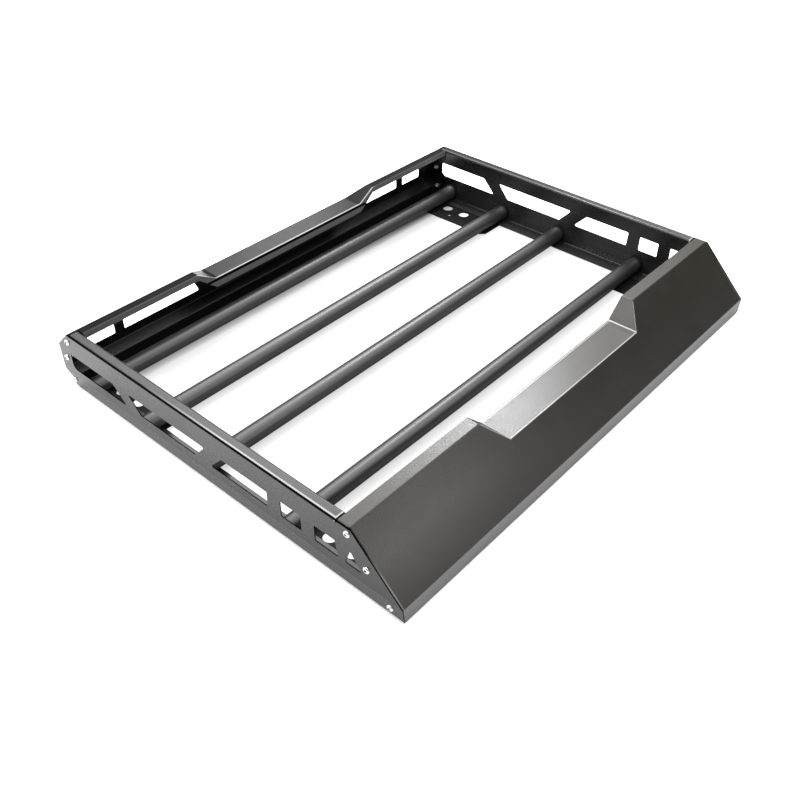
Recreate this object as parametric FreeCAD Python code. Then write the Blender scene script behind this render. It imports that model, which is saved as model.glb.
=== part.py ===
import FreeCAD, Part
import math
import os

os.makedirs("parts", exist_ok=True)

# Roof basket of folded sheet: two cut-out side panels, a sloping front fairing, a rear panel,
# four round crossbars with end plugs, and a mounting plate under each corner.
# Frame: origin on the floor under the middle, X to the front, Y along the crossbars, Z up.
# The pieces are drawn with the panels' undersides at height 0 and lifted by a plate's thickness.

V = FreeCAD.Vector

# Overall sizes
overall_length = 1200.0        # Y, outer face to outer face of the side panels
overall_depth = 948.0          # X, rear face to the foot of the fairing
height = 146.0                 # Z, of the panels
sheet = 2.0                    # sheet thickness of every folded panel
bend_radius = 3.0              # inside radius of the long folds
end_fold_radius = 3.0          # rounding of the rear panel's and fairing's ends
seam_gap = 1.5                 # open seam between two folded panels

# Rear panel section
rear_slope_run = 44.0
rear_slope_drop = 42.0
rear_toe_run = 20.0            # the rear face tucks back in by this much near the floor
rear_toe_top = 40.0
rear_toe_bottom = 24.0
rear_flange_width = 24.0
rear_lip_height = 13.0         # the flange's turned-down lip in the raised ends
rear_floor_flange = 30.0

# Lowered middle of the rear panel
rear_step_start = 318.0        # from the outer face of the side panel
rear_step_run = 46.0
rear_step_drop = 28.0
rear_low_lip_height = 23.0     # the lip is taller in the lowered middle
rear_joint_from_step = 6.0     # the rear panel's middle piece ends this far inside the step's foot

# Front fairing section
front_slope_run = 114.0
front_lip_height = 35.0
front_flange_width = 27.0
front_floor_flange = 25.0

# Lowered middle of the fairing
front_step_start = 335.0
front_step_run = 43.0
front_step_drop = 40.0

# Folded ends of the rear panel and fairing, screwed to the side panels
end_flange_width = 34.0

# Side panel
side_flange_width = 24.0
side_flange_lip = 6.0
side_floor_flange = 38.0
side_flange_rear_setback = 8.0
side_crease_height = 37.0
side_tuck = 4.0                # the band under the crease leans in by this much at the floor

# Side cut-outs, in a band between two heights
cutout_bottom = 57.5
cutout_top = 94.5
cutout_corner_radius = 3.0
cutout_chamfer = 8.0

# Corners of the rear three cut-outs: along X from the rear top fold, and height
rear_cutouts = [
    [(-4.0, cutout_top), (-4.0, cutout_bottom + cutout_chamfer), (-4.0 + cutout_chamfer, cutout_bottom),
     (179.0, cutout_bottom), (143.0, cutout_top)],
    [(192.0, cutout_top), (224.0, cutout_bottom), (390.0, cutout_bottom), (424.0, cutout_top)],
    [(471.0, cutout_top), (436.0, cutout_bottom), (590.0, cutout_bottom), (592.0, cutout_top)],
]

# Corners of the front three cut-outs: along X from the front top fold, and height
front_cutouts = [
    [(-165.5, cutout_top), (-165.5, cutout_bottom), (-114.5, cutout_bottom), (-114.5, cutout_top)],
    [(-82.5, cutout_top), (-82.5, cutout_bottom), (-27.0, cutout_bottom), (-34.0, cutout_top)],
    [(0.5, cutout_top), (-12.0, cutout_bottom), (27.0, cutout_bottom)],
]

# Rear slots: both ends along Y from the side panel's outer face, and how far the far end leans
rear_slots = [(59.0, 129.0, 0.0), (153.0, 359.0, 14.0)]
rear_slot_bottom = 61.0

# Crossbars
bar_radius = 19.0
bar_wall = 2.0
bar_from_rear_top = [33.5, 213.0, 393.5]
last_bar_from_front_top = 165.0
bar_seat_gap = 0.1             # between a crossbar and the side panel's floor flange
plug_rim_thickness = 8.0
plug_rim_overhang = 1.0
plug_boss_length = 18.0
plug_clearance = 0.3

# Mounting plates
plate_thickness = 3.0
plate_length = 252.0
plate_inner_from_side = 111.5
plate_from_rear_face = 22.0
plate_from_front_foot = 57.0
plate_corner_cut = 12.0
large_hole_radius = 14.0
large_hole_spacing = 56.0
small_hole_radius = 4.5
small_hole_spacing = 56.0
plate_hole_row_from_side = 57.5
plate_holes_from_rear_end = 115.5

# Places worked out from the sizes above
rear_face_x = -overall_depth / 2
front_foot_x = overall_depth / 2
rear_top_x = rear_face_x + rear_slope_run
front_top_x = front_foot_x - front_slope_run
rear_inner_x = rear_top_x + rear_flange_width
front_inner_x = front_top_x - front_flange_width
rear_foot_x = rear_face_x + rear_toe_run
rear_floor_inner_x = rear_foot_x + rear_floor_flange
front_floor_inner_x = front_foot_x - front_floor_flange
side_face_y = overall_length / 2
panel_end_y = side_face_y - sheet
outer_bend = bend_radius + sheet
bar_half_length = panel_end_y - plug_rim_thickness
bar_places = [rear_top_x + distance for distance in bar_from_rear_top]
bar_places.append(front_top_x - last_bar_from_front_top)
bar_axis_height = sheet + bar_seat_gap + bar_radius
plate_outer_y = side_face_y - side_tuck - outer_bend
rear_joint_y = side_face_y - rear_step_start - rear_step_run - rear_joint_from_step
past = 5.0                     # how far a cutting body runs past what it cuts


def line_offset(a, b, distance):
    """Two points of the line through a and b, moved to its right-hand side by distance."""
    dx, dz = b[0] - a[0], b[1] - a[1]
    size = math.hypot(dx, dz)
    nx, nz = dz / size * distance, -dx / size * distance
    return (a[0] + nx, a[1] + nz), (b[0] + nx, b[1] + nz)


def meeting_point(p, q, r, s):
    """Where the line through p and q meets the line through r and s."""
    d1 = (q[0] - p[0], q[1] - p[1])
    d2 = (s[0] - r[0], s[1] - r[1])
    t = ((r[0] - p[0]) * d2[1] - (r[1] - p[1]) * d2[0]) / (d1[0] * d2[1] - d1[1] * d2[0])
    return (p[0] + d1[0] * t, p[1] + d1[1] * t)


def offset_path(points, distance):
    """An open path moved to its right-hand side by distance, corners kept sharp."""
    lines = [line_offset(a, b, distance) for a, b in zip(points, points[1:])]
    middle = [meeting_point(*first, *second) for first, second in zip(lines, lines[1:])]
    return [lines[0][0]] + middle + [lines[-1][1]]


def rounded_wire(points, radii, lift):
    """Closed wire through the points with each corner rounded by its radius; lift makes it 3-D."""
    edges = []
    count = len(points)
    starts, ends, middles = [], [], []
    for i, point in enumerate(points):
        before, after, radius = points[i - 1], points[(i + 1) % count], radii[i]
        u = ((before[0] - point[0]), (before[1] - point[1]))
        w = ((after[0] - point[0]), (after[1] - point[1]))
        lu, lw = math.hypot(*u), math.hypot(*w)
        u, w = (u[0] / lu, u[1] / lu), (w[0] / lw, w[1] / lw)
        half = math.acos(max(-1.0, min(1.0, u[0] * w[0] + u[1] * w[1]))) / 2
        if radius <= 0:
            starts.append(point)
            ends.append(point)
            middles.append(None)
            continue
        reach = radius / math.tan(half)
        bisector = (u[0] + w[0], u[1] + w[1])
        size = math.hypot(*bisector)
        centre_way = radius / math.sin(half)
        touch = centre_way - radius
        starts.append((point[0] + u[0] * reach, point[1] + u[1] * reach))
        ends.append((point[0] + w[0] * reach, point[1] + w[1] * reach))
        middles.append((point[0] + bisector[0] / size * touch, point[1] + bisector[1] / size * touch))
    for i in range(count):
        if middles[i] is not None:
            edges.append(Part.Arc(lift(starts[i]), lift(middles[i]), lift(ends[i])).toShape())
        following = (i + 1) % count
        gap = math.hypot(ends[i][0] - starts[following][0], ends[i][1] - starts[following][1])
        if gap > 1e-6:
            edges.append(Part.LineSegment(lift(ends[i]), lift(starts[following])).toShape())
    return Part.Wire(edges)


def prism_along_y(points, y_low, y_high, radii=None):
    """Outline in X and Z carried from y_low to y_high."""
    radii = radii or [0.0] * len(points)
    wire = rounded_wire(points, radii, lambda p: V(p[0], y_low, p[1]))
    return Part.Face(wire).extrude(V(0, y_high - y_low, 0))


def prism_along_x(points, x_low, x_high, radii=None):
    """Outline in Y and Z carried from x_low to x_high."""
    radii = radii or [0.0] * len(points)
    wire = rounded_wire(points, radii, lambda p: V(x_low, p[0], p[1]))
    return Part.Face(wire).extrude(V(x_high - x_low, 0, 0))


def prism_along_z(points, z_low, z_high, radii=None):
    """Outline in X and Y carried from z_low to z_high."""
    radii = radii or [0.0] * len(points)
    wire = rounded_wire(points, radii, lambda p: V(p[0], p[1], z_low))
    return Part.Face(wire).extrude(V(0, 0, z_high - z_low))


def block(x_low, x_high, y_low, y_high, z_low, z_high):
    """Plain box between two corners."""
    return Part.makeBox(x_high - x_low, y_high - y_low, z_high - z_low, V(x_low, y_low, z_low))


def mirror_y(shape):
    """Mirror image on the other side of the middle plane across Y."""
    return shape.mirror(V(0, 0, 0), V(0, 1, 0))


def stepped_line(start, run, raised_height, low_height):
    """Line in Y and Z from side to side with a lowered middle."""
    outer = side_face_y + past
    raised = side_face_y - start
    low = raised - run
    return [(-outer, raised_height), (-raised, raised_height), (-low, low_height),
            (low, low_height), (raised, raised_height), (outer, raised_height)]


def room_under(line, radius, x_low, x_high):
    """Everything under a stepped line, down past the floor, from x_low to x_high."""
    closed = line + [(line[-1][0], -past), (line[0][0], -past)]
    return prism_along_x(closed, x_low, x_high, [0.0] + [radius] * 4 + [0.0] * 3)


def inner_web_line():
    """Inner face of the +Y side panel in Y and Z, from above its top to under the floor."""
    lean = side_tuck * (side_crease_height + past) / side_crease_height
    outer = [(side_face_y, height + past), (side_face_y, side_crease_height), (side_face_y - lean, -past)]
    return offset_path(outer, sheet)


def between_sides():
    """Everything between the inner faces of the two side panels."""
    line = inner_web_line()
    opposite = [(-y, z) for y, z in reversed(line)]
    return prism_along_x(line + opposite, -overall_depth, overall_depth)


def rear_path():
    """Outer line of the rear panel's section, from the flange's inner edge to the floor flange."""
    return [(rear_inner_x, height), (rear_top_x, height), (rear_face_x, height - rear_slope_drop),
            (rear_face_x, rear_toe_top), (rear_foot_x, rear_toe_bottom), (rear_foot_x, 0.0),
            (rear_inner_x, 0.0)]


def front_path():
    """Outer line of the fairing's section, from the floor flange to the top flange."""
    return [(front_inner_x, 0.0), (front_foot_x, 0.0), (front_foot_x, front_lip_height),
            (front_top_x, height), (front_inner_x, height)]


def rounded_body(path, radii, open_x):
    """Solid inside a section path, its ends rounded except at the floor and at the open inner side."""
    body = prism_along_y(path, -panel_end_y, panel_end_y, radii)
    touch = 0.001
    chosen = []
    for edge in body.Edges:
        middle = edge.CenterOfMass
        at_end = abs(abs(middle.y) - panel_end_y) < touch
        if at_end and abs(middle.x - open_x) > touch and middle.z > touch:
            chosen.append(edge)
    return body.makeFillet(end_fold_radius, chosen)


def end_flanges(body, path, open_x):
    """Band along the section path at both ends, folded inwards against the side panels."""
    line = inner_web_line()
    zone = prism_along_x(line + list(reversed(offset_path(line, sheet))), -overall_depth, overall_depth)
    edge = offset_path(path, -end_flange_width)
    closing = [(open_x, edge[-1][1]), (open_x, edge[0][1])]
    hollow = prism_along_y(edge + closing, 0, overall_length)
    band = body.common(zone).cut(hollow)
    return band.fuse(mirror_y(band))


def make_rear_panel():
    """Rear panel: sloped top edge, upright face with slots, folded foot, flange with a return lip."""
    path = rear_path()
    body = rounded_body(path, [0, outer_bend, outer_bend, outer_bend, bend_radius, 0, 0], rear_inner_x)
    top = stepped_line(rear_step_start, rear_step_run, height, height - rear_step_drop)
    skin = body.common(room_under(top, outer_bend, -overall_depth, overall_depth))
    inner = offset_path(path, -sheet)
    inner[0] = (rear_inner_x - sheet, inner[0][1])
    inner[-1] = (rear_inner_x - sheet, inner[-1][1])
    cavity = prism_along_y(inner, -side_face_y, side_face_y,
                           [0, bend_radius, bend_radius, bend_radius, outer_bend, 0, 0])
    cavity = cavity.common(room_under(offset_path(top, sheet), 0.0, -overall_depth, overall_depth))
    lip_edge = stepped_line(rear_step_start, rear_step_run, height - rear_lip_height,
                            height - rear_step_drop - rear_low_lip_height)
    mouth = room_under(lip_edge, 0.0, rear_inner_x - sheet - past, rear_inner_x + past)
    floor_cut = block(rear_floor_inner_x, rear_inner_x + past, -side_face_y, side_face_y,
                      -past, rear_toe_bottom)
    ends = end_flanges(body, path[1:6], rear_inner_x + past)
    ends = ends.cut(block(rear_floor_inner_x, rear_inner_x + past, -side_face_y, side_face_y,
                          -past, height + past))
    skin = skin.cut(cavity).cut(mouth).cut(floor_cut).fuse(ends).common(between_sides())
    corner = block(rear_top_x + side_flange_rear_setback - seam_gap, rear_inner_x + past,
                   side_face_y - side_flange_width - seam_gap, side_face_y + past,
                   height - rear_lip_height - past, height + past)
    for cutter in [corner, mirror_y(corner)] + rear_slot_cutters():
        skin = skin.cut(cutter)
    return skin.removeSplitter()


def rear_slot_cutters():
    """Two slots through the rear face in each raised end."""
    cutters = []
    for side in (-1, 1):
        for near, far, lean in rear_slots:
            a, b = side_face_y - near, side_face_y - far
            points = [(side * a, rear_slot_bottom), (side * a, cutout_top),
                      (side * (b + lean), cutout_top), (side * b, rear_slot_bottom)]
            cutters.append(prism_along_x(points, rear_face_x - past, rear_face_x + rear_slope_run / 2,
                                         [cutout_corner_radius] * 4))
    return cutters


def make_front_fairing():
    """Fairing: top flange with a lowered middle, long sloping face, upright lip and floor flange."""
    path = front_path()
    body = rounded_body(path, [0, 0, outer_bend, outer_bend, 0], front_inner_x)
    top = stepped_line(front_step_start, front_step_run, height, height - front_step_drop)
    skin = body.common(room_under(top, outer_bend, -overall_depth, overall_depth))
    inner = offset_path(path, -sheet)
    inner[0] = (front_inner_x - past, inner[0][1])
    inner[-1] = (front_inner_x - past, inner[-1][1])
    cavity = prism_along_y(inner, -side_face_y, side_face_y, [0, 0, bend_radius, bend_radius, 0])
    cavity = cavity.common(room_under(offset_path(top, sheet), 0.0, -overall_depth, overall_depth))
    floor_cut = block(front_inner_x - past, front_floor_inner_x, -side_face_y, side_face_y,
                      -past, sheet + past)
    skin = skin.cut(cavity).cut(floor_cut).fuse(end_flanges(body, path[1:4], front_inner_x - past))
    return skin.common(between_sides()).removeSplitter()


def side_cutters():
    """One cutter for each cut-out, run through the side panel's face."""
    cutters = []
    for fold_x, group in ((rear_top_x, rear_cutouts), (front_top_x, front_cutouts)):
        for corners in group:
            points = [(fold_x + along, up) for along, up in corners]
            cutters.append(prism_along_y(points, side_face_y - sheet - past, side_face_y + past,
                                         [cutout_corner_radius] * len(points)))
    return cutters


def make_side_panel():
    """Side panel on the +Y side: a folded section carried along X and trimmed to the end outline."""
    flange_y = side_face_y - side_flange_width
    foot_y = side_face_y - side_tuck
    outside = [(flange_y, height - side_flange_lip), (flange_y, height), (side_face_y, height),
               (side_face_y, side_crease_height), (foot_y, 0.0), (foot_y - side_floor_flange, 0.0)]
    inside = list(reversed(offset_path(outside, sheet)))
    radii = [0, outer_bend, outer_bend, 0, outer_bend, 0, 0, bend_radius, 0, bend_radius, bend_radius, 0]
    tray = prism_along_x(outside + inside, rear_face_x, front_foot_x, radii)
    outline = [(rear_top_x, height), (rear_face_x, height - rear_slope_drop),
               (rear_face_x, rear_toe_top), (rear_foot_x, rear_toe_bottom), (rear_foot_x, 0.0),
               (front_foot_x, 0.0), (front_foot_x, front_lip_height), (front_top_x, height)]
    outline_radii = [outer_bend] * 3 + [bend_radius] + [0.0] * 2 + [outer_bend] * 2
    tray = tray.common(prism_along_y(outline, 0, side_face_y + past, outline_radii))
    room = between_sides()
    trims = [
        block(rear_face_x - past, rear_top_x + side_flange_rear_setback, 0, side_face_y,
              height / 2, height + past),
        block(front_inner_x - seam_gap, front_foot_x + past, 0, side_face_y, height / 2, height + past),
        block(rear_face_x - past, rear_floor_inner_x + seam_gap, 0, side_face_y, -past, height / 2),
        block(front_floor_inner_x - seam_gap, front_foot_x + past, 0, side_face_y, -past, height / 2),
    ]
    for cutter in [trim.common(room) for trim in trims] + side_cutters():
        tray = tray.cut(cutter)
    return tray.removeSplitter()


def make_crossbar(bar_x):
    """Round tube between two end plugs."""
    base = V(bar_x, -bar_half_length, bar_axis_height)
    along = V(0, 1, 0)
    outer = Part.makeCylinder(bar_radius, 2 * bar_half_length, base, along)
    inner = Part.makeCylinder(bar_radius - bar_wall, 2 * bar_half_length, base, along)
    return outer.cut(inner)


def make_end_plug(bar_x, side_panel):
    """Plug in the +Y end of one crossbar: a boss in the tube and a rim shaped to the side panel."""
    along = V(0, 1, 0)
    rim = Part.makeCylinder(bar_radius + plug_rim_overhang, plug_rim_thickness,
                            V(bar_x, bar_half_length, bar_axis_height), along)
    rim = rim.common(between_sides()).cut(side_panel)
    boss = Part.makeCylinder(bar_radius - bar_wall - plug_clearance, plug_boss_length,
                             V(bar_x, bar_half_length - plug_boss_length, bar_axis_height), along)
    return rim.fuse(boss).removeSplitter()


def make_mount_plate(x_low):
    """Plate on the +Y side, under the side panel's floor flange, with two large and two small holes."""
    x_high = x_low + plate_length
    y_low = side_face_y - plate_inner_from_side
    points = [(x_low, plate_outer_y), (x_low, y_low + plate_corner_cut), (x_low + plate_corner_cut, y_low),
              (x_high - plate_corner_cut, y_low), (x_high, y_low + plate_corner_cut), (x_high, plate_outer_y)]
    plate = prism_along_z(points, -plate_thickness, 0.0)
    hole_x = x_low + plate_holes_from_rear_end
    y_row = side_face_y - plate_hole_row_from_side
    depth = plate_thickness + 2 * past
    for sign in (-1, 1):
        large = V(hole_x + sign * large_hole_spacing / 2, y_row, -plate_thickness - past)
        small = V(hole_x, y_row + sign * small_hole_spacing / 2, -plate_thickness - past)
        plate = plate.cut(Part.makeCylinder(large_hole_radius, depth, large))
        plate = plate.cut(Part.makeCylinder(small_hole_radius, depth, small))
    return plate


def save(shape, name):
    """Lift one solid onto the floor, write it as a STEP file and print its size."""
    if not shape.isValid():
        raise ValueError(name + " is not valid")
    shape = shape.translated(V(0, 0, plate_thickness))
    shape.exportStep("parts/" + name + ".step")
    box = shape.BoundBox
    print(name, len(shape.Solids), round(shape.Volume / 1000, 1), "cm3",
          [round(v, 1) for v in (box.XMin, box.XMax, box.YMin, box.YMax, box.ZMin, box.ZMax)])


def main():
    """Make every piece and write it."""
    left = make_side_panel()
    save(left, "side_panel_left")
    save(mirror_y(left), "side_panel_right")
    save(make_front_fairing(), "front_fairing")
    rear = make_rear_panel()
    x_all, z_all = (-overall_depth, overall_depth), (-past, height + past)
    rear_middle = rear.common(block(*x_all, -rear_joint_y, rear_joint_y, *z_all))
    rear_end = rear.common(block(*x_all, rear_joint_y, overall_length, *z_all))
    save(rear_middle, "rear_panel")
    save(rear_end, "rear_end_left")
    save(mirror_y(rear_end), "rear_end_right")
    for index, bar_x in enumerate(bar_places):
        number = str(index + 1)
        save(make_crossbar(bar_x), "crossbar_" + number)
        plug = make_end_plug(bar_x, left)
        save(plug, "end_plug_left_" + number)
        save(mirror_y(plug), "end_plug_right_" + number)
    places = {"rear": rear_face_x + plate_from_rear_face,
              "front": front_foot_x - plate_from_front_foot - plate_length}
    for name, x_low in places.items():
        plate = make_mount_plate(x_low)
        save(plate, "mount_plate_" + name + "_left")
        save(mirror_y(plate), "mount_plate_" + name + "_right")


main()
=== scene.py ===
import math

import bpy
import numpy as np
from bpy.props import FloatProperty, FloatVectorProperty, PointerProperty
from mathutils import Euler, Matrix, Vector


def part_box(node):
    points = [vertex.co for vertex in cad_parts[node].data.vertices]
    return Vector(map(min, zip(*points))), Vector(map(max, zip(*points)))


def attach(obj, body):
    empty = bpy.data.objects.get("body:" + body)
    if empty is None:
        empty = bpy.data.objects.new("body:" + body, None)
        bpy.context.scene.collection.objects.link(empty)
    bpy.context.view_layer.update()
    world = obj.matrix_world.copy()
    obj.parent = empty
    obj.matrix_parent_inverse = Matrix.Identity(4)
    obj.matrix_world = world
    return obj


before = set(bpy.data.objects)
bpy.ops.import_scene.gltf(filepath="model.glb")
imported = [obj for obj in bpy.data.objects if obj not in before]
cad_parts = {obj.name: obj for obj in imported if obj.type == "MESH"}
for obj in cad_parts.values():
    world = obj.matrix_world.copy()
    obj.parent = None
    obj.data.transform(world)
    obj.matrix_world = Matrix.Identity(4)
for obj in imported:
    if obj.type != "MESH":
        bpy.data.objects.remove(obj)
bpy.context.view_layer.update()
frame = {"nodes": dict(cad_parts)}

bl_info = {
    "name": "Roof Basket",
    "version": (1, 0, 0),
    "blender": (4, 5, 0),
    "location": "View3D > Sidebar > Roof Basket",
    "description": "Finishes, fasteners and stage for a folded-sheet roof basket",
    "category": "Object",
}

BODY = "root"
SIDES = ("left", "right")
LOW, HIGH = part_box("side_panel_left")
OUTER_Y = HIGH.y                        # outer face of the side panels
FRONT_X = HIGH.x
TOP_Z = HIGH.z
SHEET = 0.002                           # sheet thickness of the folded panels
BASE_Z = LOW.z                          # underside of the panels, on top of the mounting plates
CREASE_Z = BASE_Z + 0.037               # the side panels lean in below this height
TUCK = 0.004                            # and this far at their underside
FLANGE_END = FRONT_X - 0.1425           # front end of the side panels' flanges, against the fairing's
LOW_FOLD_X = FRONT_X - 0.0729           # fold between the fairing's slope and its lowered flange
FAIRING_LOW_Z = TOP_Z - 0.040           # top of the fairing's lowered middle
STEP_SLANT = 1.075                      # how |y| grows with height along the fairing's steps
REAR_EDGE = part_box("rear_panel")[1].x   # front edge of the rear panel's flange
REAR_LOW_Z = TOP_Z - 0.028              # top of the rear panel's lowered middle
REAR_STEP_Y = 0.285                     # |y| just past the rear panel's steps

# Painted highlights, light and shade on the powder coat, and dark seams
SHADE_AND_SEAM_COLOUR = (0.003, 0.003, 0.003)
SOFT_EDGE = 0.0004                      # half width of a mark's faded border
SQUARE = 0.9                            # least share of an axis in the normal of a face square to it
FAINT_LINE = 0.15                       # strength of the rear flange's painted highlight on its raised ends
FOOT_SHADE = 0.3                        # strength of the painted shade at the foot of the fairing's slope

# Shapes of the screws and nuts
AROUND = 36                             # points round a screw or nut
AROUND_ANGLES = np.arange(AROUND) * 2 * math.pi / AROUND
POLE = 0.0002                           # radius of the small caps that close a screw's two ends
THREAD_PITCH, THREAD_DEPTH = 0.00125, 0.0005
THREAD_TIP = 0.001                      # bevel at the thread's end, and its length without thread
RIM_RADIUS, RIM_HEIGHT = 0.97, 0.08     # rounding under the head, as shares of its radius and height
DOME_START, DOME_END, DOME_BEND, DOME_RINGS = 0.25, 1.25, 0.88, 7
CROWN, SKIRT = 0.14, 0.12               # shares of the head's radius and height outside the dome's curve
SOCKET_BEVEL = 0.0003
SOCKET_FLOOR, SOCKET_TIP = 0.25, 0.18   # heights of the socket's floor, as shares of the head's
NUT_CLEARANCE = 0.0001                  # between the thread and the nut's bore
NUT_FACE, NUT_RIM = 1.02, 0.98          # the cone's radius at a nut's face, and the face's rounding
NUT_EDGE, NUT_CONE = 0.1, 0.6           # share of a nut's height that the cone takes, and its flare
FIRST_SPIN, SPIN_STEP = 0.3, 1.1        # turn of the first screw about itself, and of each one after it

# Screws on the outside of each side panel: x, and z over the panels' underside
SCREWS = ((-0.4335, 0.1255), (-0.4520, 0.0790), (-0.4460, 0.0230),
          (0.3560, 0.1310), (0.3970, 0.0760), (0.4460, 0.0200))


# Settings

class BasketFinish(bpy.types.PropertyGroup):
    """Colours and textures of the powder coat and the bright fasteners."""
    # The panels, crossbars and plates wear one black coat; each copy below is set lighter or darker as
    # painted light and shade, and the fairing's warmer as a painted warm reflection
    side_colour: FloatVectorProperty(
        name="Side panels", description="Powder coat on the two side panels", subtype="COLOR",
        default=(0.015, 0.015, 0.0155), min=0.0, max=1.0)
    fairing_colour: FloatVectorProperty(
        name="Fairing", description="Powder coat on the front fairing", subtype="COLOR",
        default=(0.0110, 0.0095, 0.0065), min=0.0, max=1.0)
    rear_colour: FloatVectorProperty(
        name="Rear panel", description="Powder coat on the rear panel", subtype="COLOR",
        default=(0.007, 0.007, 0.0075), min=0.0, max=1.0)
    bar_colour: FloatVectorProperty(
        name="Crossbars", description="Powder coat on the crossbars", subtype="COLOR",
        default=(0.020, 0.020, 0.0205), min=0.0, max=1.0)
    plate_colour: FloatVectorProperty(
        name="Mounting plates", description="Powder coat on the mounting plates", subtype="COLOR",
        default=(0.008, 0.008, 0.0085), min=0.0, max=1.0)
    # Also the painted shade inside the screws' sockets
    plug_and_socket_shade_colour: FloatVectorProperty(
        name="End plugs", description="Moulded plastic of the crossbars' end plugs", subtype="COLOR",
        default=(0.008, 0.008, 0.0085), min=0.0, max=1.0)
    # Painted highlight along the folds and edges of the panels
    painted_highlight_colour: FloatVectorProperty(
        name="Folds", description="Thin, burnished coat on the outside of the folds", subtype="COLOR",
        default=(0.34, 0.34, 0.345), min=0.0, max=1.0)
    # Painted light on the lips, which face the light
    lip_painted_light_colour: FloatVectorProperty(
        name="Lips", description="Paler coat on the lips of the rear panel and the fairing", subtype="COLOR",
        default=(0.115, 0.115, 0.117), min=0.0, max=1.0)
    zinc_colour: FloatVectorProperty(
        name="Fasteners", description="Zinc plating on the screws and nuts", subtype="COLOR",
        default=(0.86, 0.87, 0.88), min=0.0, max=1.0)
    grain_size: FloatProperty(
        name="Grain size", description="Width of one bump of the powder coat", unit="LENGTH",
        default=0.0034, min=0.0002, max=0.02)
    grain_depth: FloatProperty(
        name="Grain depth", description="Height of the powder coat's bumps", unit="LENGTH",
        default=0.00012, min=0.0, max=0.002, precision=5)


class BasketFasteners(bpy.types.PropertyGroup):
    """Sizes of the button-head screws that join the panels."""
    head_radius: FloatProperty(
        name="Head radius", description="Radius of a button head", unit="LENGTH",
        default=0.0070, min=0.002, max=0.02)
    head_height: FloatProperty(
        name="Head height", description="How far a button head stands off the sheet", unit="LENGTH",
        default=0.0038, min=0.001, max=0.01)
    socket_width: FloatProperty(
        name="Socket width", description="Across the flats of the hexagon socket", unit="LENGTH",
        default=0.0050, min=0.001, max=0.01)
    shank_radius: FloatProperty(
        name="Shank radius", description="Radius of the screw's thread", unit="LENGTH",
        default=0.0040, min=0.001, max=0.01)
    shank_length: FloatProperty(
        name="Shank length", description="From under the head to the thread's tip", unit="LENGTH",
        default=0.014, min=0.004, max=0.05)
    nut_width: FloatProperty(
        name="Nut width", description="Across the flats of a nut", unit="LENGTH",
        default=0.0130, min=0.003, max=0.03)
    nut_height: FloatProperty(
        name="Nut height", description="Thickness of a nut", unit="LENGTH",
        default=0.0060, min=0.001, max=0.02)


class BasketStage(bpy.types.PropertyGroup):
    """Camera, floor and lights."""
    camera_place: FloatVectorProperty(
        name="Camera place", description="Where the camera stands", subtype="XYZ", unit="LENGTH",
        default=(1.06896, -1.27778, 1.22137))
    camera_azimuth: FloatProperty(
        name="Camera azimuth", description="Turn of the camera about the upright", subtype="ANGLE",
        unit="ROTATION", default=math.radians(41.54))
    camera_elevation: FloatProperty(
        name="Camera elevation", description="How far the camera looks down", subtype="ANGLE",
        unit="ROTATION", default=math.radians(39.63))
    lens: FloatProperty(
        name="Lens", description="Focal length on a 36 mm wide sensor", unit="CAMERA",
        default=41.15, min=10.0, max=200.0)
    floor_size: FloatProperty(
        name="Floor size", description="Length of the floor's sides", unit="LENGTH",
        default=40.0, min=4.0, max=200.0)
    floor_glow: FloatProperty(
        name="Floor glow", description="Light that the floor gives off around the basket",
        default=0.5, min=0.0, max=10.0)
    # Both glows under the basket are painted light for the camera: the rear one fades towards the left side
    # into a painted shadow, the front one washes out the shadows
    inner_floor_glow: FloatProperty(
        name="Inner floor glow", description="Lift of the floor under the basket's rear, for the camera",
        default=0.30, min=0.0, max=10.0)
    front_floor_glow: FloatProperty(
        name="Front floor glow", description="Lift of the floor under the basket's front, for the camera",
        default=0.62, min=0.0, max=10.0)
    room_light: FloatProperty(
        name="Room light", description="Strength of the even surroundings",
        default=0.22, min=0.0, max=10.0)
    light_scale: FloatProperty(
        name="Light scale", description="Multiplies the power of every light",
        default=1.0, min=0.0, max=10.0)


# Shader building blocks

# Places of a Mix node's two inputs and of its output, by the kind of value that it mixes
MIX_SOCKETS = {"FLOAT": (2, 3, 0), "RGBA": (6, 7, 2)}
COLUMN_WIDTH, ROW_HEIGHT = 220.0, 260.0   # spacing of the nodes in the shader editor


def node(tree, kind, **values):
    """Adds a shader node, with its inputs or settings given by name."""
    made = tree.nodes.new(kind)
    for key, value in values.items():
        if key in made.inputs:
            made.inputs[key].default_value = value
        else:
            setattr(made, key, value)
    return made


def feed(tree, socket, value):
    """Links an input to another node's output, or sets it to a plain value."""
    if isinstance(value, bpy.types.NodeSocket):
        tree.links.new(value, socket)
    else:
        socket.default_value = value


def worked(tree, operation, *values, clamp=False):
    """Result of a Math node; each value is a number or an output."""
    made = node(tree, "ShaderNodeMath", operation=operation, use_clamp=clamp)
    for socket, value in zip(made.inputs, values):
        feed(tree, socket, value)
    return made.outputs[0]


def joined(tree, operation, *values):
    """All values multiplied together, or the largest of them, two at a time."""
    result = values[0]
    for value in values[1:]:
        result = worked(tree, operation, result, value, clamp=True)
    return result


def ramp(tree, value, start, stop, first, last):
    """Value stretched evenly so that start gives first and stop gives last, and held beyond them."""
    made = node(tree, "ShaderNodeMapRange", clamp=True)
    tree.links.new(value, made.inputs["Value"])
    for key, number in (("From Min", start), ("From Max", stop), ("To Min", first), ("To Max", last)):
        feed(tree, made.inputs[key], number)
    return made.outputs["Result"]


def mixed(tree, kind, share, first, second):
    """First and second mixed by share, as numbers ("FLOAT") or as colours ("RGBA")."""
    made = node(tree, "ShaderNodeMix", data_type=kind)
    one, other, result = MIX_SOCKETS[kind]
    tree.links.new(share, made.inputs[0])
    feed(tree, made.inputs[one], first)
    feed(tree, made.inputs[other], second)
    return made.outputs[result]


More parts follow.
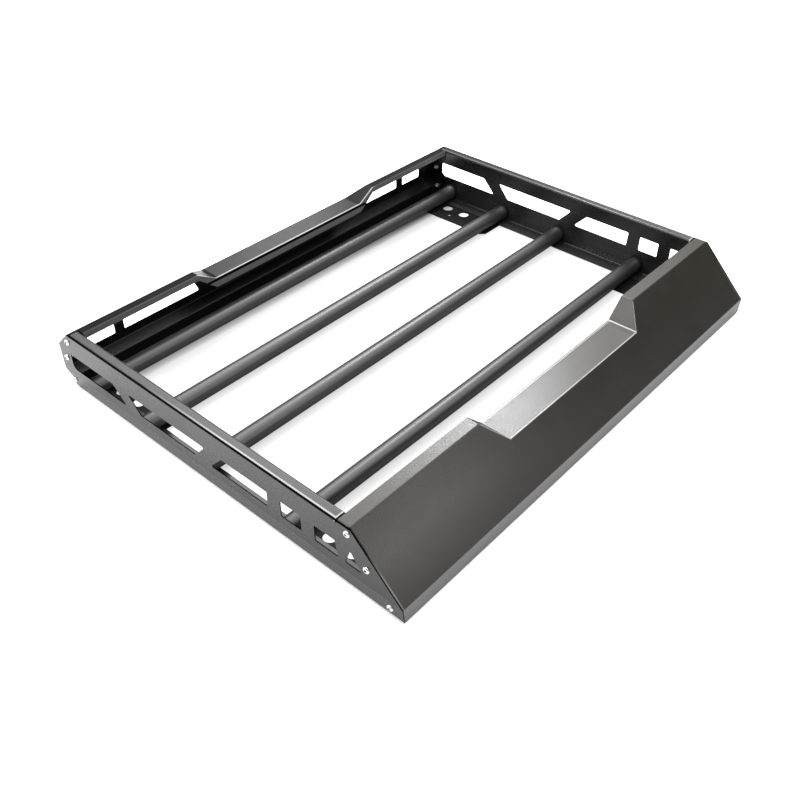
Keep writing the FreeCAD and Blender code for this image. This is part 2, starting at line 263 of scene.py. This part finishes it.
def lay_out(tree):
    """Sets the nodes in columns, each as far left of the end as its longest way there has steps."""
    steps = {part.name: 0 for part in tree.nodes}
    for _ in steps:
        for wire in tree.links:
            start, end = wire.from_node.name, wire.to_node.name
            steps[start] = max(steps[start], steps[end] + 1)
    filled = {}
    for name, column in steps.items():
        row = filled.get(column, 0)
        tree.nodes[name].location = (-COLUMN_WIDTH * column, -ROW_HEIGHT * row)
        filled[column] = row + 1


def powder_coat_group():
    """Grain of a powder coat: base colour in; mottled colour, roughness and bumped normal out.

    A fine noise and a cloudy one are added, less 1, so that they vary about zero. That sum times
    the mottle, plus 1, scales the colour, and times the spread it is added to the roughness. The
    fine noise alone is the height of the bumps.
    """
    found = bpy.data.node_groups.get("powder_coat")
    if found:
        return found
    tree = bpy.data.node_groups.new("powder_coat", "ShaderNodeTree")
    sockets = tree.interface
    sockets.new_socket("Base", in_out="INPUT", socket_type="NodeSocketColor")
    for name in ("Grain size", "Grain depth", "Mottle", "Roughness", "Roughness spread"):
        sockets.new_socket(name, in_out="INPUT", socket_type="NodeSocketFloat")
    sockets.new_socket("Color", in_out="OUTPUT", socket_type="NodeSocketColor")
    sockets.new_socket("Roughness", in_out="OUTPUT", socket_type="NodeSocketFloat")
    sockets.new_socket("Normal", in_out="OUTPUT", socket_type="NodeSocketVector")
    link = tree.links.new
    given = node(tree, "NodeGroupInput")
    coords = node(tree, "ShaderNodeTexCoord")
    grain = node(tree, "ShaderNodeTexNoise", Detail=2.0, Roughness=0.55)
    cloud = node(tree, "ShaderNodeTexNoise", Scale=14.0, Detail=3.0, Roughness=0.6)
    for noise in (grain, cloud):
        link(coords.outputs["Object"], noise.inputs["Vector"])
    link(worked(tree, "DIVIDE", 1.0, given.outputs["Grain size"]), grain.inputs["Scale"])
    bump = node(tree, "ShaderNodeBump", Strength=1.0)
    link(grain.outputs["Fac"], bump.inputs["Height"])
    link(given.outputs["Grain depth"], bump.inputs["Distance"])
    both = worked(tree, "ADD", grain.outputs["Fac"], cloud.outputs["Fac"])
    change = worked(tree, "SUBTRACT", both, 1.0)
    tint = node(tree, "ShaderNodeVectorMath", operation="SCALE")
    link(given.outputs["Base"], tint.inputs[0])
    link(worked(tree, "MULTIPLY_ADD", change, given.outputs["Mottle"], 1.0), tint.inputs["Scale"])
    rough = worked(tree, "MULTIPLY_ADD", change, given.outputs["Roughness spread"],
                   given.outputs["Roughness"])
    out = node(tree, "NodeGroupOutput")
    link(tint.outputs[0], out.inputs["Color"])
    link(rough, out.inputs["Roughness"])
    link(bump.outputs["Normal"], out.inputs["Normal"])
    lay_out(tree)
    return tree


def place_group():
    """Where a point lies on the basket and how squarely its surface faces each axis, without sign."""
    found = bpy.data.node_groups.get("surface_place")
    if found:
        return found
    tree = bpy.data.node_groups.new("surface_place", "ShaderNodeTree")
    out = node(tree, "NodeGroupOutput")
    coords = node(tree, "ShaderNodeTexCoord")
    for source, names, signed in (("Object", ("X", "Across", "Z"), ("X", "Z")),
                                  ("Normal", ("Facing X", "Facing Y", "Facing Z"), ())):
        split = node(tree, "ShaderNodeSeparateXYZ")
        tree.links.new(coords.outputs[source], split.inputs[0])
        for name, value in zip(names, split.outputs):
            tree.interface.new_socket(name, in_out="OUTPUT", socket_type="NodeSocketFloat")
            if name not in signed:
                value = worked(tree, "ABSOLUTE", value)
            tree.links.new(value, out.inputs[name])
    lay_out(tree)
    return tree


def inside(tree, value, low=None, high=None, soft=SOFT_EDGE):
    """Mask that is 1 between two bounds and fades over soft on both sides of each; None is no bound."""
    sides = []
    if low is not None:
        sides.append(ramp(tree, value, low - soft, low + soft, 0.0, 1.0))
    if high is not None:
        sides.append(ramp(tree, value, high - soft, high + soft, 1.0, 0.0))
    return joined(tree, "MULTIPLY", *sides)


def where(tree, at, *bounds):
    """Mask that is 1 where every measure named lies in its bounds, given as name, low, high, soft."""
    return joined(tree, "MULTIPLY", *[inside(tree, at[name], *limits) for name, *limits in bounds])


def side_marks(tree, at):
    """Side panels: painted shade on the cut edges and the outer fold, and a painted highlight along the front
    half's fold.
    """
    fold = where(tree, at, ("Across", OUTER_Y - 0.0028), ("Z", TOP_Z - 0.0035))
    cuts_x = where(tree, at, ("Facing X", 0.45, None, 0.1))
    cuts_z = where(tree, at, ("Facing Z", SQUARE, None, 0.02), ("Z", 0.02, TOP_Z - 0.01))
    line = where(tree, at, ("Across", OUTER_Y - 0.0062, OUTER_Y - 0.0030), ("Z", TOP_Z - 0.004),
                 ("X", -0.06, None, 0.12))
    # The flange ends in a painted highlight, and a dark seam parts it from the fairing's
    seam_start, seam_end = FLANGE_END - 0.0022, FLANGE_END + 0.0012
    on_flange = ("Z", TOP_Z - 0.006)
    edge = where(tree, at, ("X", FLANGE_END - 0.0050, seam_start), on_flange)
    seam = where(tree, at, ("X", seam_start, seam_end), on_flange)
    return ((joined(tree, "MAXIMUM", line, edge), "bright"),
            (joined(tree, "MAXIMUM", cuts_x, cuts_z, fold, seam), "dark"))


def fairing_marks(tree, at):
    """Fairing: painted highlights on the folds round the lowered middle and at both ends, painted light on
    the lip, and painted shade at the foot of the slope.

    A fold is where the surface faces as none of the flat faces round it does. Along the steps'
    outer edges |y| less STEP_SLANT times the height stays the same, and is measured as Slant.
    """
    at = {**at, "Slant": worked(tree, "MULTIPLY_ADD", at["Z"], -STEP_SLANT, at["Across"])}
    level = where(tree, at, ("Facing Z", 0.992, None, 0.008))
    upright = where(tree, at, ("Facing Y", 0.97, None, 0.02))
    slope = where(tree, at, ("Facing X", 0.67, 0.73, 0.01), ("Facing Z", 0.68, 0.75, 0.01))
    step = where(tree, at, ("Facing Y", 0.65, 0.71, 0.01), ("Facing Z", 0.70, 0.76, 0.01))
    flat = joined(tree, "MAXIMUM", level, upright, slope, step)
    under_top = TOP_Z - 0.0015
    middle = where(tree, at, ("Across", None, 0.270), ("Z", FAIRING_LOW_Z - 0.014, under_top))
    bends = joined(tree, "MULTIPLY", worked(tree, "SUBTRACT", 1.0, flat, clamp=True), middle)
    front = where(tree, at, ("X", LOW_FOLD_X - 0.0010, LOW_FOLD_X + 0.0010))
    back = where(tree, at, ("X", FLANGE_END + 0.0040, FLANGE_END + 0.0055))
    lowered = where(tree, at, ("Across", None, 0.2215), ("Z", FAIRING_LOW_Z - 0.0045, FAIRING_LOW_Z + 0.0010))
    borders = joined(tree, "MULTIPLY", joined(tree, "MAXIMUM", front, back), lowered)
    steps = where(tree, at, ("Slant", 0.1040, 0.1062), ("Facing X", 0.3, None, 0.05),
                  ("Z", FAIRING_LOW_Z - 0.0015, under_top))
    ends = where(tree, at, ("Across", OUTER_Y - 0.0050, OUTER_Y - 0.0010), ("Z", 0.045, 0.085, 0.03))
    lip = where(tree, at, ("Facing X", SQUARE, None, 0.05), ("Z", None, BASE_Z + 0.036))
    foot = where(tree, at, ("Z", None, 0.055, 0.045), ("Facing X", 0.6, 0.8, 0.05))
    return ((worked(tree, "MULTIPLY", foot, FOOT_SHADE), "dark"), (lip, "pale"),
            (joined(tree, "MAXIMUM", bends, borders, steps, ends), "bright"))


def rear_marks(tree, at):
    """Rear panel: a painted highlight on its flange's front edge, full in the middle, painted light on the
    lip, and painted shade along the lip's top.
    """
    edge = where(tree, at, ("X", REAR_EDGE - 0.0034, REAR_EDGE + 0.001), ("Facing Z", 0.5, None, 0.1),
                 ("Z", REAR_LOW_Z - 0.021))
    middle = where(tree, at, ("Across", None, REAR_STEP_Y, 0.004))
    line = joined(tree, "MULTIPLY", edge, worked(tree, "MAXIMUM", middle, FAINT_LINE))
    lip = where(tree, at, ("Facing X", SQUARE, None, 0.02), ("X", REAR_EDGE - 0.001),
                ("Z", REAR_LOW_Z - 0.029))
    under = joined(tree, "MULTIPLY", lip, where(tree, at, ("Z", REAR_LOW_Z - 0.008, REAR_LOW_Z - 0.0015)))
    return (lip, "pale"), (line, "bright"), (under, "dark")


def new_material(name):
    """Empty material with a Principled shader, and that shader."""
    material = bpy.data.materials.new(name)
    material.use_nodes = True
    return material, material.node_tree.nodes["Principled BSDF"]


def powder_coat(name, colour, roughness=0.4, specular=0.5, mottle=0.18, grain=1.0, spread=0.08,
                marks=None):
    """Satin black powder coat with its grain; marks gives pairs of a mask and the look under it, which is a
    painted highlight (bright), painted light (pale) or painted shade and dark seams (dark).
    """
    finish = bpy.context.scene.basket_finish
    # bright paints a highlight, pale paints light, dark paints shade and seams
    looks = {"bright": (finish.painted_highlight_colour, 0.25), "pale": (finish.lip_painted_light_colour, 0.5),
             "dark": (SHADE_AND_SEAM_COLOUR, 0.9)}
    material, shader = new_material(name)
    tree = material.node_tree
    coat = node(tree, "ShaderNodeGroup", node_tree=powder_coat_group())
    for key, value in (("Base", (*colour, 1.0)), ("Grain size", finish.grain_size),
                       ("Grain depth", finish.grain_depth * grain), ("Mottle", mottle),
                       ("Roughness", roughness), ("Roughness spread", spread)):
        coat.inputs[key].default_value = value
    tint, rough = coat.outputs["Color"], coat.outputs["Roughness"]
    if marks:
        place = node(tree, "ShaderNodeGroup", node_tree=place_group())
        for mask, look in marks(tree, dict(place.outputs.items())):
            look_colour, look_roughness = looks[look]
            tint = mixed(tree, "RGBA", mask, tint, (*look_colour, 1.0))
            rough = mixed(tree, "FLOAT", mask, rough, look_roughness)
            # A dark mark is painted shade or a seam, and as a black metal throws back no light, it has no
            # gloss
            if look == "dark":
                tree.links.new(mask, shader.inputs["Metallic"])
    tree.links.new(tint, shader.inputs["Base Color"])
    tree.links.new(rough, shader.inputs["Roughness"])
    tree.links.new(coat.outputs["Normal"], shader.inputs["Normal"])
    shader.inputs["Specular IOR Level"].default_value = specular
    lay_out(tree)
    return material


def plated(name, colour):
    """Bright zinc plating with a faint cloudy bloom in its shade and its roughness."""
    shades, roughnesses = (0.82, 1.08), (0.34, 0.48)
    material, shader = new_material(name)
    tree = material.node_tree
    link = tree.links.new
    coords = node(tree, "ShaderNodeTexCoord")
    bloom = node(tree, "ShaderNodeTexNoise", Scale=420.0, Detail=3.0, Roughness=0.6)
    link(coords.outputs["Object"], bloom.inputs["Vector"])
    tint = node(tree, "ShaderNodeVectorMath", operation="SCALE")
    tint.inputs[0].default_value = colour
    link(ramp(tree, bloom.outputs["Fac"], 0.0, 1.0, *shades), tint.inputs["Scale"])
    link(tint.outputs[0], shader.inputs["Base Color"])
    link(ramp(tree, bloom.outputs["Fac"], 0.0, 1.0, *roughnesses), shader.inputs["Roughness"])
    shader.inputs["Metallic"].default_value = 1.0
    lay_out(tree)
    return material


def paint(nodes, material):
    """Gives CAD nodes one material."""
    for name in nodes:
        mesh = frame["nodes"][name].data
        mesh.materials.clear()
        mesh.materials.append(material)


# Numpy surfaces

def hexagon(angle, width):
    """Distance from the middle of a hexagon to its side, by angle.

    It is half the width across the flats, over the cosine of the angle from the nearest flat's middle.
    """
    off_flat = np.mod(angle + math.pi / 6, math.pi / 3) - math.pi / 6
    return width / 2 / np.cos(off_flat)


def turned_grid(radius, height, angle):
    """Points of a surface turned about Z, ring by ring.

    x is the ring's radius at the angle times its cosine, y the same times its sine, z the ring's height.
    """
    radius = np.asarray(radius, float)
    height = np.broadcast_to(np.asarray(height, float)[:, None], radius.shape)
    return np.stack([radius * np.cos(angle), radius * np.sin(angle), height], axis=-1)


def grid_faces(rings, around, wrap_rings=False):
    """Four-cornered faces of a grid that closes around, and over its rings if asked."""
    first = np.arange(rings if wrap_rings else rings - 1)
    i, j = np.meshgrid(first, np.arange(around), indexing="ij")
    k, m = (i + 1) % rings, (j + 1) % around
    corners = [i * around + j, i * around + m, k * around + m, k * around + j]
    return np.stack(corners, axis=-1).reshape(-1, 4)


def screw_template(sizes):
    """Button head with a hexagon socket over a threaded shank, as one closed surface along Z.

    With t from DOME_START to DOME_END, the dome's radius is the head's radius times (CROWN + the rest
    times cos(DOME_BEND t)), and its height is the head's height times (SKIRT + the rest times
    sin t / sin DOME_END). The shank's radius is its own less a sawtooth of the thread's depth.
    """
    head, high, shank = sizes.head_radius, sizes.head_height, sizes.shank_radius
    socket = hexagon(AROUND_ANGLES, sizes.socket_width)
    rows, levels = [], []

    def ring(radius, level):
        rows.append(np.broadcast_to(radius, AROUND_ANGLES.shape))
        levels.append(level)

    tip = -sizes.shank_length
    turns = int((sizes.shank_length - THREAD_TIP) / THREAD_PITCH)
    ring(POLE, tip)
    ring(shank - THREAD_TIP, tip)
    for index in range(turns, 0, -1):
        ring(shank - THREAD_DEPTH, -THREAD_PITCH * index)
        ring(shank, -THREAD_PITCH * (index - 0.5))
    ring(shank, 0.0)
    ring(head * RIM_RADIUS, 0.0)
    ring(head, high * RIM_HEIGHT)
    for t in np.linspace(DOME_START, DOME_END, DOME_RINGS):
        ring(head * (CROWN + (1 - CROWN) * math.cos(t * DOME_BEND)),
             high * (SKIRT + (1 - SKIRT) * math.sin(t) / math.sin(DOME_END)))
    ring(socket + SOCKET_BEVEL, high)
    ring(socket, high - SOCKET_BEVEL)
    ring(socket, high * SOCKET_FLOOR)
    ring(POLE, high * SOCKET_TIP)
    return turned_grid(rows, levels, AROUND_ANGLES)


def nut_template(sizes):
    """Hexagon nut as a closed ring of profiles along Z.

    Its radius is the hexagon's distance, or a cone's where that is less. The cone starts at NUT_FACE
    times half the width and widens by NUT_CONE times the way in from a face, so it bevels the corners.
    """
    hexa = hexagon(AROUND_ANGLES, sizes.nut_width)
    face = np.minimum(hexa, sizes.nut_width / 2 * NUT_FACE)
    bore = np.full_like(hexa, sizes.shank_radius + NUT_CLEARANCE)
    high = sizes.nut_height
    edge = high * NUT_EDGE
    side = np.minimum(hexa, face + edge * NUT_CONE)
    rows = [bore, face * NUT_RIM, side, side, face * NUT_RIM, bore]
    return turned_grid(rows, [0.0, 0.0, edge, high - edge, high, high], AROUND_ANGLES)


def screw_frames():
    """Centre and outward direction of every screw on both side panels, which lean in under the crease."""
    band = CREASE_Z - BASE_Z
    lean = math.atan2(TUCK, band)
    frames = []
    for side in (1.0, -1.0):
        for x, z in SCREWS:
            below = max(0.0, band - z)
            tilt = lean if below > 0 else 0.0
            centre = np.array([x, side * (OUTER_Y - TUCK * below / band), BASE_Z + z])
            frames.append((centre, np.array([0.0, side * math.cos(tilt), -math.sin(tilt)])))
    return frames


def repeated(name, template, wrap, materials, along=0.0):
    """One object with a copy of the template at every screw, moved inwards by along.

    A point of the template is carried to the centre plus its x, y and z times two directions across
    the screw and the outward one, each copy turned further about it. A second material goes to the
    last two rings of an unwrapped template and the cap on them.
    """
    rings, around, _ = template.shape
    faces = grid_faces(rings, around, wrap).tolist()
    if not wrap:
        faces.append(list(range(around))[::-1])
        faces.append(list(range((rings - 1) * around, rings * around)))
    flat = template.reshape(-1, 3)
    lengthwise = np.array([1.0, 0.0, 0.0])
    points, all_faces = [], []
    for index, (centre, outward) in enumerate(screw_frames()):
        spin = FIRST_SPIN + index * SPIN_STEP
        u = lengthwise * math.cos(spin) + np.cross(outward, lengthwise) * math.sin(spin)
        w = np.cross(outward, u)
        points.append(centre + flat[:, :1] * u + flat[:, 1:2] * w + (flat[:, 2:] - along) * outward)
        all_faces += [[corner + index * len(flat) for corner in face] for face in faces]
    mesh = bpy.data.meshes.new(name)
    mesh.from_pydata(np.concatenate(points).tolist(), [], all_faces)
    for material in materials:
        mesh.materials.append(material)
    if len(materials) > 1:
        part = np.arange(len(all_faces)) % len(faces)
        caps = len(faces) - 2
        deep = (part == caps + 1) | ((part >= caps - 2 * around) & (part < caps))
        mesh.polygons.foreach_set("material_index", deep.astype(np.int32))
    mesh.validate()
    mesh.shade_smooth()
    mesh.set_sharp_from_angle(angle=math.radians(35))
    piece = bpy.data.objects.new(name, mesh)
    bpy.context.scene.collection.objects.link(piece)
    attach(piece, BODY)
    return piece


# Pieces

class OBJECT_OT_basket_panels(bpy.types.Operator):
    """Powder coat on the side panels, fairing and rear panel"""
    bl_idname = "object.basket_panels"
    bl_label = "Panels"

    def execute(self, context):
        finish = context.scene.basket_finish
        paint(["side_panel_" + side for side in SIDES],
              powder_coat("side_coat", finish.side_colour, roughness=0.28, marks=side_marks))
        paint(["front_fairing"],
              powder_coat("fairing_coat", finish.fairing_colour, roughness=0.32, mottle=0.5,
                          grain=1.8, marks=fairing_marks))
        paint(["rear_panel", "rear_end_left", "rear_end_right"],
              powder_coat("rear_coat", finish.rear_colour, roughness=0.30, specular=0.35,
                          marks=rear_marks))
        return {"FINISHED"}


class OBJECT_OT_basket_bars(bpy.types.Operator):
    """Powder coat on the crossbars and mounting plates, moulded plastic on the end plugs"""
    bl_idname = "object.basket_bars"
    bl_label = "Crossbars and plates"

    def execute(self, context):
        finish = context.scene.basket_finish
        names = frame["nodes"]
        paint([n for n in names if n.startswith("crossbar")],
              powder_coat("bar_coat", finish.bar_colour, roughness=0.40, specular=0.8,
                          grain=0.02, spread=0.01))
        paint([n for n in names if n.startswith("mount_plate")],
              powder_coat("plate_coat", finish.plate_colour, roughness=0.5, specular=0.1))
        paint([n for n in names if n.startswith("end_plug")],
              powder_coat("plug_plastic", finish.plug_and_socket_shade_colour, roughness=0.6, specular=0.3))
        return {"FINISHED"}


class OBJECT_OT_basket_fasteners(bpy.types.Operator):
    """Button-head screws through the side panels, with nuts on the inside"""
    bl_idname = "object.basket_fasteners"
    bl_label = "Screws and nuts"

    def execute(self, context):
        sizes = context.scene.basket_fasteners
        finish = context.scene.basket_finish
        zinc = plated("zinc", finish.zinc_colour)
        # The sockets' insides get the plugs' black as painted shade
        socket = powder_coat("socket", finish.plug_and_socket_shade_colour)
        repeated("screws", screw_template(sizes), False, (zinc, socket))
        repeated("nuts", nut_template(sizes), True, (zinc,), along=2 * SHEET + sizes.nut_height)
        return {"FINISHED"}


class OBJECT_OT_basket_stage(bpy.types.Operator):
    """Pale floor, soft lights and the camera"""
    bl_idname = "object.basket_stage"
    bl_label = "Stage"

    def execute(self, context):
        stage = context.scene.basket_stage
        make_floor(stage.floor_size, stage.floor_glow, stage.inner_floor_glow, stage.front_floor_glow)
        make_world(context.scene, stage.room_light)
        for name, place, target, width, depth, power, colour, lit in LIGHTS:
            lamp = make_light(name, place, target, width, depth, power * stage.light_scale, colour)
            if lit:
                lamp.light_linking.receiver_collection = receivers(name, lit)
        make_camera(context.scene, stage)
        context.scene.view_settings.view_transform = "Standard"
        return {"FINISHED"}


WHITE = (1.0, 1.0, 1.0)
COOL_WHITE = (0.97, 0.98, 1.0)
# Every piece but the rear panel's raised ends
ALL_BUT_ENDS = ("crossbar", "end_plug", "front_fairing", "mount_plate", "rear_panel", "side_panel",
                "floor", "screws", "nuts")
# Each light's name, place, target, width, depth, power and colour, and the starts of the names that
# it is kept to, or none where it lights everything
LIGHTS = (
    ("overhead", (-0.2, 0.6, 2.6), (-0.2, 0.6001, 0.0), 4.4, 4.6, 160.0, WHITE, ()),
    ("shadow_key", (-1.45, 0.25, 2.10), (0.0, 0.0, 0.0), 0.60, 0.60, 60.0, WHITE, ("floor",)),
    ("back_wide", (-1.80, 1.00, 2.05), (0.0, -0.30, 0.10), 2.2, 1.2, 31.0, WHITE, ALL_BUT_ENDS),
    ("back_softbox", (-0.59, 1.18, 1.55), (0.34, -0.20, 0.11), 0.42, 0.42, 18.0, COOL_WHITE, ()),
    ("far_box", (-0.70, 2.60, 1.72), (0.33, 0.45, 0.15), 1.20, 0.36, 8.0, WHITE,
     ("front_fairing", "side_panel_left")),
    ("bar_strip", (1.55, 1.30, 1.58), (0.00, 0.00, 0.04), 1.20, 0.20, 4.5, WHITE,
     ("crossbar", "front_fairing")),
    ("rear_box", (-2.07, 1.43, 1.33), (-0.42, 0.00, 0.12), 0.50, 0.30, 2.8, WHITE, ("rear_panel",)),
    ("flange_box", (-1.00, 2.46, 1.22), (0.00, 0.59, 0.15), 1.60, 0.30, 0.7, WHITE, ("side_panel_left",)),
    ("left_strip", (-1.02, -2.02, 1.03), (-0.05, -0.60, 0.14), 0.90, 0.12, 13.0, WHITE, ()),
    ("bar_fill", (0.45, -1.55, 0.95), (-0.05, -0.55, 0.03), 0.90, 0.50, 19.0, WHITE, ("crossbar",)),
    ("step_box", (-0.51, -0.82, 2.05), (0.34, 0.31, 0.13), 0.60, 0.60, 8.0, WHITE, ()),
    ("slope_box", (2.16, 0.52, 1.00), (0.42, -0.50, 0.07), 1.00, 0.60, 9.5, WHITE, ()),
)


def make_floor(size, glow, inner_glow, front_glow):
    """Flat square floor of pale paper that gives off some light around the basket.

    The camera sees it paler and brighter than the lights do. Under the basket the paper is darker, for the
    camera and the lights alike, as painted shade, and the camera sees a glow there as painted light. That
    glow goes from inner_glow at the rear, where it falls to nothing towards the left side and leaves a
    painted shadow, to front_glow further forward, where it washes out the shadows.
    """
    half = size / 2
    under_x, under_y = (0.01, FRONT_X - 0.016), (0.0, OUTER_Y - 0.008)   # middle and half length
    # The darker paper under the basket is painted shade
    paper, seen_paper = (grey(0.60), grey(0.20)), (grey(0.85), grey(0.34))
    forward, leftward = (-0.39, -0.29), (0.10, 0.50)
    mesh = bpy.data.meshes.new("floor")
    corners = [(-half, -half, 0), (half, -half, 0), (half, half, 0), (-half, half, 0)]
    mesh.from_pydata(corners, [], [(0, 1, 2, 3)])
    floor = bpy.data.objects.new("floor", mesh)
    bpy.context.scene.collection.objects.link(floor)
    material, shader = new_material("floor_paper")
    tree = material.node_tree
    shader.inputs["Roughness"].default_value = 0.9
    shader.inputs["Specular IOR Level"].default_value = 0.1
    shader.inputs["Emission Color"].default_value = (1, 1, 1, 1)
    coords = node(tree, "ShaderNodeTexCoord")
    split = node(tree, "ShaderNodeSeparateXYZ")
    tree.links.new(coords.outputs["Object"], split.inputs[0])
    x, y = split.outputs["X"], split.outputs["Y"]
    spans = []
    for value, (centre, reach) in ((x, under_x), (y, under_y)):
        away = worked(tree, "ABSOLUTE", worked(tree, "SUBTRACT", value, centre))
        spans.append(worked(tree, "LESS_THAN", away, reach))
    under = worked(tree, "MULTIPLY", *spans)
    # Painted light under the basket for the camera; fading to nothing at the rear left, it leaves a painted
    # shadow there
    rear_glow = ramp(tree, y, *leftward, inner_glow, 0.0)
    under_glow = ramp(tree, x, *forward, rear_glow, front_glow)
    is_seen = node(tree, "ShaderNodeLightPath").outputs["Is Camera Ray"]
    # Each pair holds the value around the basket and the value under it
    for kind, target, unseen, seen in (("RGBA", "Base Color", paper, seen_paper),
                                       ("FLOAT", "Emission Strength", (0.42, 0.0), (glow, under_glow))):
        by_light, by_camera = mixed(tree, kind, under, *unseen), mixed(tree, kind, under, *seen)
        tree.links.new(mixed(tree, kind, is_seen, by_light, by_camera), shader.inputs[target])
    lay_out(tree)
    mesh.materials.append(material)


def grey(value):
    """Opaque grey colour."""
    return (value, value, value, 1.0)


def make_world(scene, strength):
    """Even, slightly warm surroundings."""
    world = bpy.data.worlds.new("studio")
    world.use_nodes = True
    sky = world.node_tree.nodes["Background"]
    sky.inputs["Color"].default_value = (1.0, 0.95, 0.88, 1)
    sky.inputs["Strength"].default_value = strength
    scene.world = world


def make_light(name, place, target, width, depth, power, colour):
    """Rectangular soft light that faces a point."""
    lamp = bpy.data.lights.new(name, "AREA")
    lamp.shape = "RECTANGLE"
    lamp.size, lamp.size_y = width, depth
    lamp.energy = power
    lamp.color = colour
    obj = bpy.data.objects.new(name, lamp)
    obj.location = place
    obj.rotation_euler = (Vector(target) - Vector(place)).to_track_quat("-Z", "Y").to_euler()
    bpy.context.scene.collection.objects.link(obj)
    return obj


def receivers(name, starts):
    """Collection of the objects that one light is kept to, by the start of their names."""
    lit = bpy.data.collections.new(name + "_lights")
    pieces = dict(frame["nodes"])
    for key in ("floor", "screws", "nuts"):
        pieces[key] = bpy.data.objects[key]
    for key, piece in pieces.items():
        if key.startswith(starts):
            lit.objects.link(piece)
    return lit


def make_camera(scene, stage):
    """Camera that looks down on the near front corner."""
    lens = bpy.data.cameras.new("camera")
    lens.sensor_width = 36.0
    lens.lens = stage.lens
    camera = bpy.data.objects.new("camera", lens)
    camera.location = stage.camera_place
    camera.rotation_euler = Euler((math.pi / 2 - stage.camera_elevation, 0.0, stage.camera_azimuth))
    scene.collection.objects.link(camera)
    scene.camera = camera


class VIEW3D_PT_basket(bpy.types.Panel):
    """Roof basket tools in the sidebar"""
    bl_label = "Roof Basket"
    bl_space_type = "VIEW_3D"
    bl_region_type = "UI"
    bl_category = "Roof Basket"

    def draw(self, context):
        scene = context.scene
        for operator in PIECE_OPERATORS:
            self.layout.operator(operator.bl_idname)
        for group in (scene.basket_finish, scene.basket_fasteners, scene.basket_stage):
            box = self.layout.box()
            for key in group.bl_rna.properties.keys():
                if key not in ("rna_type", "name"):
                    box.prop(group, key)


SETTINGS = {"basket_finish": BasketFinish, "basket_fasteners": BasketFasteners,
            "basket_stage": BasketStage}
PIECE_OPERATORS = (OBJECT_OT_basket_panels, OBJECT_OT_basket_bars, OBJECT_OT_basket_fasteners,
                   OBJECT_OT_basket_stage)


def register():
    """Registers the settings, operators and panel."""
    for name, group in SETTINGS.items():
        bpy.utils.register_class(group)
        setattr(bpy.types.Scene, name, PointerProperty(type=group))
    for cls in (*PIECE_OPERATORS, VIEW3D_PT_basket):
        bpy.utils.register_class(cls)


def unregister():
    """Takes them out again."""
    for cls in (VIEW3D_PT_basket, *reversed(PIECE_OPERATORS)):
        bpy.utils.unregister_class(cls)
    for name, group in SETTINGS.items():
        delattr(bpy.types.Scene, name)
        bpy.utils.unregister_class(group)


def main():
    """Registers the add-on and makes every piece."""
    register()
    for operator in PIECE_OPERATORS:
        group, name = operator.bl_idname.split(".")
        getattr(getattr(bpy.ops, group), name)()


if __name__ == "__main__":
    main()
